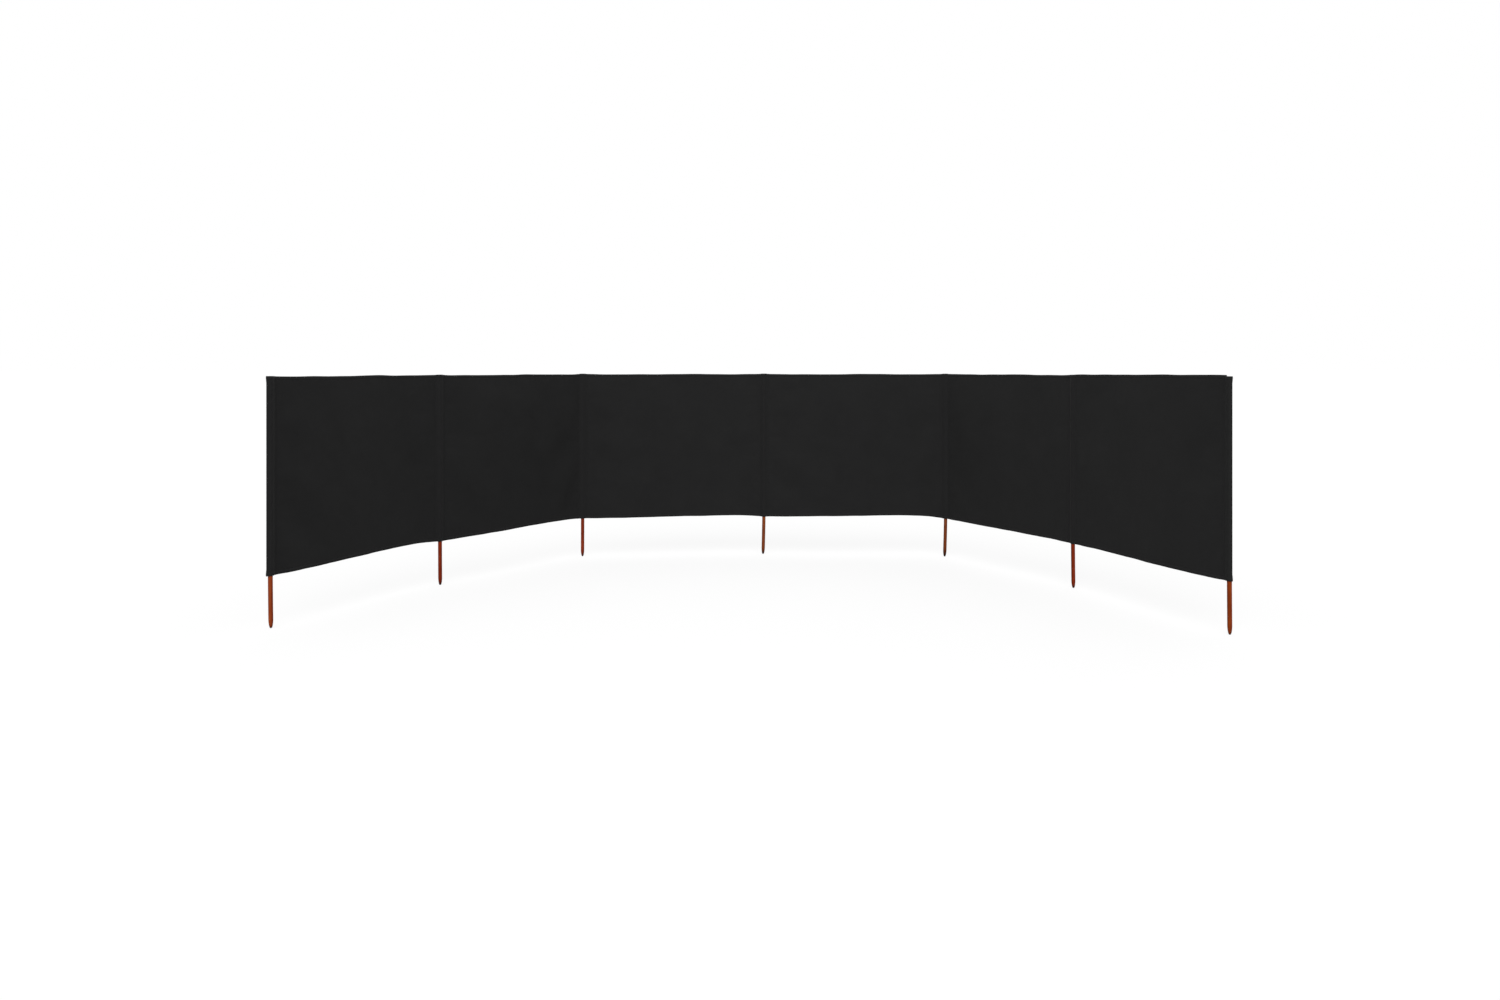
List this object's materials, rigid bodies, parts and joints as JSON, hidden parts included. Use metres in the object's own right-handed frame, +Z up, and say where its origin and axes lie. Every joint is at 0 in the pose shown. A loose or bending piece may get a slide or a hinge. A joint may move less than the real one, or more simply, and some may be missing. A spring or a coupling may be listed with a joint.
{
  "type": "beach windbreak",
  "caption": "Long cloth windbreak for a beach, on pointed round wooden poles in closed sewn pockets. It folds at each pole and stands as an open U.",
  "frame": {"origin": "blunt tip of the middle pole, where it stands on the ground", "axes": "+X to the right along the back of the screen, +Y away from the sheltered side, +Z up"},
  "size_m": [4.9595, 2.5492, 1.3125],
  "materials": {
    "pole_wood": "reddish-brown stained softwood dowel with a satin look and visible grain",
    "cloth": "black plain-woven polyester with a faint sheen"
  },
  "bodies": {
    "bay_3": {"cloth_bay_3": "cloth", "pole_3": "pole_wood", "pole_pocket_3": "cloth", "pole_4": "pole_wood", "pole_pocket_4": "cloth"},
    "bay_2": {"cloth_bay_2": "cloth", "pole_2": "pole_wood", "pole_pocket_2": "cloth"},
    "bay_1": {"cloth_bay_1": "cloth", "pole_1": "pole_wood", "pole_pocket_1": "cloth"},
    "bay_4": {"cloth_bay_4": "cloth", "pole_5": "pole_wood", "pole_pocket_5": "cloth"},
    "bay_5": {"cloth_bay_5": "cloth", "pole_6": "pole_wood", "pole_pocket_6": "cloth"},
    "bay_6": {"cloth_bay_6": "cloth", "pole_7": "pole_wood", "pole_pocket_7": "cloth"}
  },
  "joints": [
    {"name": "fold_at_pole_2", "type": "hinge", "parent": "bay_2", "child": "bay_1", "pos_m": [-2.03539, -1.18701, 0], "axis": [0, 0, -1], "range_deg": [-136.5, 153.5]},
    {"name": "fold_at_pole_3", "type": "hinge", "parent": "bay_3", "child": "bay_2", "pos_m": [-1.30397, -0.10262, 0], "axis": [0, 0, 1], "range_deg": [-196.5, 93.5]},
    {"name": "fold_at_pole_4", "type": "hinge", "parent": "bay_3", "child": "bay_4", "pos_m": [0, 0, 0], "axis": [0, 0, 1], "range_deg": [-80.5, 154.5]},
    {"name": "fold_at_pole_5", "type": "hinge", "parent": "bay_4", "child": "bay_5", "pos_m": [1.30302, -0.114, 0], "axis": [0, 0, -1], "range_deg": [-203.5, 86.5]},
    {"name": "fold_at_pole_6", "type": "hinge", "parent": "bay_5", "child": "bay_6", "pos_m": [1.88665, -1.28457, 0], "axis": [0, 0, 1], "range_deg": [-138.5, 151.5]}
  ]
}
